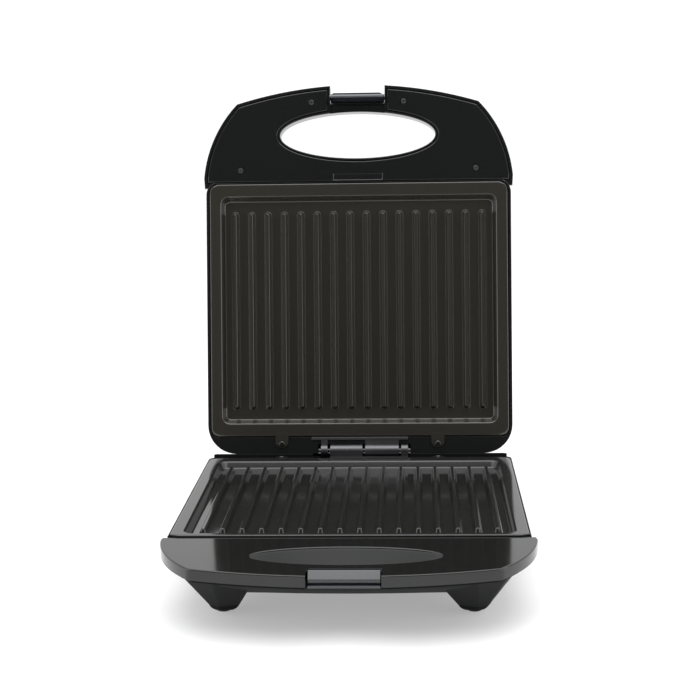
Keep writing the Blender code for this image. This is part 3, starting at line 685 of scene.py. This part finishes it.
def leg(name, side, front):
    """Tapered leg with a faceted front, a rounded lower end and a seat for the pad."""
    if front:
        levels = [(BELLY_TOP - 0.5,
                   [(54, -262), (79, -266), (98, -256), (105.5, -238), (105.5, -208), (54, -208)]),
                  (-43.5,
                   [(68.5, -222), (80.5, -226), (87.5, -222), (90.2, -215), (90.2, -205), (68.5, -205)]),
                  (-46.2,
                   [(70.3, -221), (80.3, -224.2), (86.3, -220.7), (88.7, -214.5), (88.7, -206),
                    (70.3, -206)]),
                  (-47.8,
                   [(73, -219.5), (80, -221.7), (84.3, -219), (86, -213.7), (86, -208), (73, -208)]),
                  (-48.4,
                   [(76, -217.5), (80, -218.7), (81.7, -217), (82.5, -213), (82.5, -211), (76, -211)])]
    else:
        levels = [(BELLY_LOW - 0.3, [(63, -46), (78, -47), (87, -42), (87, -16), (78, -15), (63, -16)]),
                  (-45.0, [(69, -42), (79, -43), (88, -38), (88, -20), (79, -19), (69, -20)]),
                  (-47.6, [(71, -40), (79, -41), (86, -37), (86, -22), (79, -21), (71, -22)]),
                  (-48.4, [(74, -37), (79, -38), (83, -35), (83, -25), (79, -24), (74, -25)])]
    solid = soften(loft(name, [[(side * x, y, z) for x, y in ring] for z, ring in levels]), 1.2, 4, 20.0)
    seat = circle(side * PAD_X, PAD_FRONT if front else PAD_BACK, PAD_R + 0.3)
    return combine(solid, prism("pad_seat", seat, -50, -47.4))


def pad(name, side, y):
    """Rubber pad from its seat in the leg down to the floor."""
    rings = ((PAD_R, -47.45), (PAD_R, -48.5), (PAD_R - 0.15, -48.85), (PAD_R - 0.5, FLOOR))
    return loft(name, [[(px, py, z) for px, py in circle(side * PAD_X, y, r)] for r, z in rings])


def gland():
    """Strain relief: flange, stepped boot and a seat where the cord would enter."""
    rings = [(-14, 4.6), (-1.6, 4.6), (-1.5, 7.2), (-1.2, 7.5), (1.0, 7.5), (1.4, 7.1), (1.5, 5.6)]
    for step in range(3):
        y = 2.4 + step * 2.2
        radius = 5.2 - step * 0.35
        rings += [(y, radius - 0.7), (y + 0.2, radius - 0.7), (y + 0.3, radius), (y + 1.5, radius - 0.1)]
    rings += [(8.9, 4.2), (9.0, 3.9), (9.0, 3.2), (5.0, 3.2)]
    return loft("strain_relief", [[(px, y, pz) for px, pz in circle(*GLAND, r)] for y, r in rings])


settle(base_shell(), IN_BASE, "base", "black_satin", ["base_housing"])
settle(base_top(), IN_BASE, "base", "black_gloss", ["base_handle_cover"])
settle(recess_cup(), IN_BASE, "base", "matt_black_satin", ["base_handle_cover"])
settle(catch(), IN_BASE, "base", "blue_gloss", ["latch_catch"])
for tag, sign in (("left", -1), ("right", 1)):
    settle(leg("leg_front_" + tag, sign, True), IN_BASE, "base", "black_satin", ["foot_front_" + tag])
    settle(leg("leg_rear_" + tag, sign, False), IN_BASE, "base", "black_satin", ["foot_rear_" + tag])
    settle(pad("pad_front_" + tag, sign, PAD_FRONT), IN_BASE, "base", "rubber", ["foot_pad_front_" + tag])
    settle(pad("pad_rear_" + tag, sign, PAD_BACK), IN_BASE, "base", "rubber", ["foot_pad_rear_" + tag])
settle(gland(), IN_BASE, "base", "rubber", ["cord_gland"])


# --- hinge --------------------------------------------------------------------------------------

def strap(name, knuckles, flange, web):
    """Pressed strip whose edge is rolled into knuckles."""
    strip = soften(box(name, *flange), 0.25)
    for start, end in knuckles:
        combine(strip, box("web", start + 0.3, end - 0.3, *web), "UNION")
        roll = round_x("roll", ((start, BARREL_R - 0.35), (start + 0.35, BARREL_R), (end - 0.35, BARREL_R),
                                (end, BARREL_R - 0.35)))
        combine(strip, roll, "UNION")
        combine(strip, round_x("bore", ((start - 1, 1.6), (end + 1, 1.6))))
    return strip


settle(strap("base_strap", (BASE_BARREL, BASE_EAR), (-22.7, 37.1, -10.2, -4.4, -4.9, -3.4),
             (-5.2, -1.0, -4.2, -2.2)), IN_BASE, "base", "steel", ["base_hinge_bracket"])
settle(strap("lid_strap", (LID_EAR, LID_BARREL), (-37.0, 37.1, -10.2, -8.0, -1.3, -0.1),
             (-8.2, -1.0, -0.9, -0.1)), IN_LID, "lid", "steel", ["lid_hinge_bracket"])
rod = round_x("hinge_rod", ((-31.8, 1.0), (-31.4, 1.5), (38.6, 1.5), (39.0, 1.0)), count=28)
settle(rod, IN_BASE, "base", "steel", ["hinge_pin"])


# --- lid ----------------------------------------------------------------------------------------

def dome_rings(inset, low):
    """Lid shell from its lower edge to its crowned top; with an inset, the room inside it from low."""
    rings = []
    levels = [(0.0, 0.4), (0.1, 0.15), (0.3, 0.0), (DOME_LOW, 0.4)]
    if inset:
        levels = [(low, 0.0), (DOME_LOW, 0.4)]
    shape = [(z, side, LID_FRONT) for z, side in levels]
    for step in range(1, 13):
        t = step / 12
        bulge = 1 - math.sqrt(1 - t * t)
        shape.append((DOME_LOW + (LID_TOP - DOME_LOW - inset) * t, 0.4 + DOME_SIDE * bulge,
                      LID_FRONT + DOME_FRONT * bulge))
    for z, side, front in shape:
        edge = side if z < 2 and not inset else 0.0
        outline = rounded_box(LID_HALF - side - inset, LID_BACK - side - inset, front + inset + edge,
                              22.0 - inset - side * 0.1, 10.0 + side * 0.4)
        rings.append([(x, y, z) for x, y in outline])
    top = [(x, y) for x, y, _ in rings[-1]]
    rings.append([(x, y, rings[-1][0][2]) for x, y in shrink(top, 4.0)])
    return rings


def lid_shell():
    """Housing and handle frame in one: hollow, with pockets for the plate and the handle's trim."""
    shell = loft("lid_shell", dome_rings(0.0, 0.0))
    outline = handle_outline(PLATE_FRONT + 3.0)
    top = LID_HANDLE_TOP
    rings = ((0.75, LID_FACE), (0.3, LID_FACE + 0.12), (0.06, LID_FACE + 0.45), (0.0, LID_FACE + 1.0),
             (0.0, top - 7), (0.35, top - 4.6), (1.2, top - 2.6), (2.4, top - 1.1), (3.8, top - 0.25),
             (5.2, top))
    handle = loft("handle", [[(x, y, z) for x, y in shrink(outline, inset)] for inset, z in rings])
    combine(shell, handle, "UNION")
    combine(shell, loft("room", dome_rings(2.2, 3.0)))
    pocket = [(0.0, 6.0), (0.0, 0.8), (-0.2, 0.3), (-0.6, 0.0), (-1.2, -0.5)]
    lip = rounded_box(PLATE_W / 2 + 0.4, PLATE_BACK + 0.3, PLATE_FRONT - 0.3, 6.0, 6.0)
    combine(shell, loft("pocket", [[(x, y, z) for x, y in shrink(lip, inset)] for inset, z in pocket]))
    plan = shrink(handle_outline(PLATE_FRONT + 1.1), 2.2)
    cover_pocket = prism("cover_pocket", plan, 0.0, LID_FACE + COVER_T + 0.2)
    combine(cover_pocket, prism("ring", ellipse(1.7), -1.0, 9.0))
    bridge_half = COVER_CUT - 0.3
    combine(cover_pocket, box("bridge", -bridge_half, bridge_half, CLEAR_FRONT, HOLE_MID, -1, 9))
    combine(shell, cover_pocket)
    hole = ((1.2, -0.4), (0.75, LID_FACE), (0.3, LID_FACE + 0.15), (0.05, LID_FACE + 0.5),
            (0.0, LID_FACE + 1.1), (0.0, top - 2.0), (0.4, top - 1.0), (1.2, top - 0.25), (2.2, top),
            (3.0, top + 1))
    combine(shell, loft("hand_hole", [[(x, y, z) for x, y in ellipse(grow)] for grow, z in hole]))
    flare = ((-0.5, -2.0), (-0.5, LID_FACE), (-0.15, LID_FACE + 0.15), (0.0, LID_FACE + 0.5),
             (0.0, top - 0.6), (-0.6, top), (-0.6, 30.0))
    notch_back = PLATE_FRONT - NOTCH_EXT
    notch = [(NOTCH_HALF, CLEAR_FRONT), (NOTCH_HALF, notch_back), (-NOTCH_HALF, notch_back),
             (-NOTCH_HALF, CLEAR_FRONT)]
    combine(shell, loft("notch", [[(x, y, z) for x, y in shrink(notch, inset)] for inset, z in flare]))
    step = [(45, -2), (45, 3.0), (NOTCH_EXT - 1.1, 3.0), (NOTCH_EXT + 0.1, 3.75), (NOTCH_EXT + 0.6, 3.75),
            (NOTCH_EXT + 0.6, -2)]
    step = [(PLATE_FRONT - ext, z) for ext, z in step]
    combine(shell, sweep_x("bridge_step", step, -NOTCH_HALF, NOTCH_HALF))
    cover = [(radius * math.cos(a), radius * math.sin(a))
             for radius, start, end in ((4.8, 5, 80), (6.0, 80, 5))
             for a in spread(math.radians(start), math.radians(end), 0.12)]
    combine(shell, sweep_x("hinge_cover", cover, -37.0, 39.5), "UNION")
    combine(shell, round_x("pin_hole", ((-27, 1.3), (27, 1.3)), PIN, 20))
    combine(shell, round_x("hinge_round", ((-32, 4.9), (39, 4.9))))
    combine(shell, box("hinge_notch", -32, 39, -4.9, 5, -2, 1.5))
    for x in (-LENS_X, LENS_X):
        combine(shell, prism("lens_hole", circle(x, LENS_Y, 4.2), 30, 45))
    return shell


def trim_outline():
    """C-shaped face: round the handle's contour, then back round the hand hole; open at the latch."""
    contour = shrink(handle_outline(PLATE_FRONT + 1.1), TRIM_INSET)
    outer = [p for p in contour if p[0] < -COVER_CUT] + [p for p in contour if p[0] > COVER_CUT]
    front = PLATE_FRONT - APEX + FRONT_R - math.sqrt((FRONT_R - TRIM_INSET)**2 - COVER_CUT**2)
    half_x = HOLE_X + 2.0
    half_y = HOLE_Y + 2.0
    gap = math.asin(COVER_CUT / half_x)
    inner = [(half_x * math.cos(a), HOLE_MID + half_y * math.sin(a))
             for a in spread(gap - math.pi / 2, math.pi * 1.5 - gap, 0.045)]
    return outer + [(COVER_CUT, front)] + inner + [(-COVER_CUT, front)]


def lid_trim():
    """Handle cover with a soft edge, sunk screws and a sunk label field."""
    rings = ((0.0, LID_FACE + COVER_T), (0.0, LID_FACE + 0.95), (0.1, LID_FACE + 0.68), (0.5, LID_FACE + 0.3),
             (0.9, LID_FACE + 0.06), (1.15, LID_FACE))
    trim = loft("lid_trim", [[(x, y, z) for x, y in shrink(trim_outline(), inset)] for inset, z in rings])
    field = ((-0.8, LID_FACE - 0.3), (-0.45, LID_FACE), (0.0, LID_FACE + 0.4), (0.3, LID_FACE + 0.42))
    label = [(-18.6, PLATE_FRONT - 2.7), (18.6, PLATE_FRONT - 2.7), (18.6, PLATE_FRONT - 7.3),
             (-18.6, PLATE_FRONT - 7.3)]
    combine(trim, loft("label_field", [[(x, y, z) for x, y in shrink(label, inset)] for inset, z in field]))
    for x, ext in COVER_SCREWS:
        for side in (-1, 1):
            y = PLATE_FRONT - ext
            sink = ((3.4, 0.5), (2.9, LID_FACE), (2.55, LID_FACE + 0.35), (2.5, LID_FACE + 0.6),
                    (2.5, LID_FACE + 1.5))
            combine(trim, loft("sink", [[(px, py, z) for px, py in circle(side * x, y, r)] for r, z in sink]))
            combine(trim, prism("hole", circle(side * x, y, 1.4, 20), 0.0, 9.0))
    return trim


def latch():
    """Clip: barrel on the latch pin, leg, and a sloped end with the tooth that goes under the catch."""
    barrel = [(PIN_EXT + 3.4 * math.cos(a), PIN_Z + 3.4 * math.sin(a))
              for a in spread(math.radians(235), 0, 0.2)]
    profile = barrel + [(68.9, 4.9), (67.5, 2.5), (67.3, -12.0), (66.1, -12.0), (64.8, -13.1), (64.1, -12.9),
                        (63.9, -12.3), (63.9, -11.3), (66.4, -11.0), (66.4, -1.5), (65.9, 1.0), (64.9, 2.9)]
    clip = sweep_x("latch_hook", [(PLATE_FRONT - ext, z) for ext, z in profile], -LATCH_HALF, LATCH_HALF)
    soften(clip, 0.15)
    for side in (-1, 1):
        corner = [(17.6, 68.9), (17.6, 67.2), (LATCH_HALF + 0.1, 65.5), (LATCH_HALF + 1, 65.5),
                  (LATCH_HALF + 1, 68.9)]
        combine(clip, prism("corner", [(side * x, PLATE_FRONT - ext) for x, ext in corner], -20, 2.0))
    return combine(clip, round_x("bore", ((-30, 1.35), (30, 1.35)), PIN, 24))


def lens(name, x, look):
    """Round indicator lens in the lid's top."""
    rings = ((3.9, 35.0), (3.9, LID_TOP), (3.8, LID_TOP + 0.25), (3.2, LID_TOP + 0.5), (1.8, LID_TOP + 0.6))
    dome = loft(name, [[(px, py, z) for px, py in circle(x, LENS_Y, r)] for r, z in rings])
    return settle(dome, IN_LID, "lid", look, [look])


settle(lid_shell(), IN_LID, "lid", "black_gloss", ["lid_housing"])
settle(lid_trim(), IN_LID, "lid", "black_gloss", ["lid_handle_cover"])
settle(latch(), IN_LID, "latch", "blue_gloss", ["latch_clip"])
latch_rod = round_x("latch_rod", ((-25, 0.8), (-24.6, 1.2), (24.6, 1.2), (25, 0.8)), PIN, 24)
settle(latch_rod, IN_LID, "lid", "steel", ["latch_pin"])
lens("lens_red", -LENS_X, "red_lens")
lens("lens_green", LENS_X, "green_lens")

# The CAD pieces inside the housings stay and get the same looks.
KEPT = {
    "steel": ("lower_heat_shield", "lower_heating_element", "upper_heat_shield", "upper_heating_element"),
    "phenolic": ("thermostat", "terminal_block", "thermal_fuse"),
}
for look, names in KEPT.items():
    for name in names:
        for slot in frame["nodes"][name].material_slots:
            slot.material = LOOKS[look]


# --- stage --------------------------------------------------------------------------------------

SIDE_LIGHT = 1.0
TOP_LIGHT = 1.5


def floor_material():
    """White sheet lit a little from below, so that the shadow under the press stays soft."""
    mat = bpy.data.materials.new("floor_white")
    mat.use_nodes = True
    shader = mat.node_tree.nodes["Principled BSDF"]
    shader.inputs["Base Color"].default_value = (0.6, 0.6, 0.6, 1.0)
    shader.inputs["Emission Color"].default_value = (1.0, 1.0, 1.0, 1.0)
    shader.inputs["Emission Strength"].default_value = 0.36
    shader.inputs["Roughness"].default_value = 0.9
    shader.inputs["Specular IOR Level"].default_value = 0.0
    return mat


floor = box("floor", -20000, 20000, -20000, 20000, -10, 0)
floor.data.materials.append(floor_material())


def build_world():
    """White studio, brightest overhead, with a dark patch in front of the press; plain white to look at."""
    world = bpy.data.worlds.new("studio")
    bpy.context.scene.world = world
    world.use_nodes = True
    nodes = world.node_tree.nodes
    link = world.node_tree.links.new
    lit = nodes["Background"]
    lit.inputs["Color"].default_value = (1.0, 1.0, 1.0, 1.0)
    seen = nodes.new("ShaderNodeBackground")
    seen.inputs["Color"].default_value = (1.0, 1.0, 1.0, 1.0)
    seen.inputs["Strength"].default_value = 1.2
    place = nodes.new("ShaderNodeTexCoord")
    split = nodes.new("ShaderNodeSeparateXYZ")
    height = nodes.new("ShaderNodeMapRange")
    height.interpolation_type = "SMOOTHSTEP"
    height.inputs["From Min"].default_value = 0.25
    height.inputs["From Max"].default_value = 0.75
    height.inputs["To Min"].default_value = SIDE_LIGHT
    height.inputs["To Max"].default_value = TOP_LIGHT
    toward = nodes.new("ShaderNodeVectorMath")
    toward.operation = "DOT_PRODUCT"
    toward.inputs[1].default_value = (0.0, -0.98, 0.17)
    patch = nodes.new("ShaderNodeMapRange")
    patch.interpolation_type = "SMOOTHSTEP"
    patch.inputs["From Min"].default_value = 0.5
    patch.inputs["From Max"].default_value = 0.86
    patch.inputs["To Min"].default_value = 1.0
    patch.inputs["To Max"].default_value = 0.08
    shade = nodes.new("ShaderNodeMath")
    shade.operation = "MULTIPLY"
    path = nodes.new("ShaderNodeLightPath")
    mix = nodes.new("ShaderNodeMixShader")
    link(place.outputs["Generated"], split.inputs["Vector"])
    link(place.outputs["Generated"], toward.inputs[0])
    link(split.outputs["Z"], height.inputs["Value"])
    link(toward.outputs["Value"], patch.inputs["Value"])
    link(height.outputs["Result"], shade.inputs[0])
    link(patch.outputs["Result"], shade.inputs[1])
    link(shade.outputs["Value"], lit.inputs["Strength"])
    link(path.outputs["Is Camera Ray"], mix.inputs["Fac"])
    link(lit.outputs["Background"], mix.inputs[1])
    link(seen.outputs["Background"], mix.inputs[2])
    link(mix.outputs["Shader"], nodes["World Output"].inputs["Surface"])


def softbox(name, spot, aim, width, height, power):
    """Rectangular area light at a spot, facing its aim."""
    lamp = bpy.data.lights.new(name, "AREA")
    lamp.shape = "RECTANGLE"
    lamp.size = width
    lamp.size_y = height
    lamp.energy = power
    obj = bpy.data.objects.new(name, lamp)
    bpy.context.scene.collection.objects.link(obj)
    obj.location = spot
    obj.rotation_mode = "QUATERNION"
    obj.rotation_quaternion = (Vector(aim) - Vector(spot)).to_track_quat("-Z", "Y")


build_world()
softbox("overhead", (0.0, -0.45, 1.45), (0.0, -0.45, 0.0), 1.6, 1.7, 19.0)
softbox("left", (-1.15, -0.35, 0.28), (0.0, 0.05, 0.2), 0.9, 0.5, 2.6)
softbox("right", (1.15, -0.35, 0.28), (0.0, 0.05, 0.2), 0.9, 0.5, 2.6)

# Camera: its place from the hinge axis in metres, and its yaw, pitch and roll
CAMERA_FROM_AXIS = Vector((0.0430, -1.1010, 0.2793))
YAW = math.radians(2.57)
PITCH = math.radians(10.33)
ROLL = math.radians(0.89)
lens_data = bpy.data.cameras.new("camera")
lens_data.sensor_width = 36.0
lens_data.lens = 75.81
lens_data.clip_end = 50.0
camera = bpy.data.objects.new("camera", lens_data)
bpy.context.scene.collection.objects.link(camera)
ahead = Vector((-math.sin(YAW) * math.cos(PITCH), math.cos(YAW) * math.cos(PITCH), -math.sin(PITCH)))
right = Vector((math.cos(YAW), math.sin(YAW), 0.0))
down = ahead.cross(right)
side_axis = right * math.cos(ROLL) + down * math.sin(ROLL)
down_axis = down * math.cos(ROLL) - right * math.sin(ROLL)
turned = Matrix((side_axis, -down_axis, -ahead)).transposed()
camera.matrix_world = Matrix.Translation(AXIS + CAMERA_FROM_AXIS) @ turned.to_4x4()
bpy.context.scene.camera = camera
bpy.context.scene.view_settings.view_transform = "Standard"
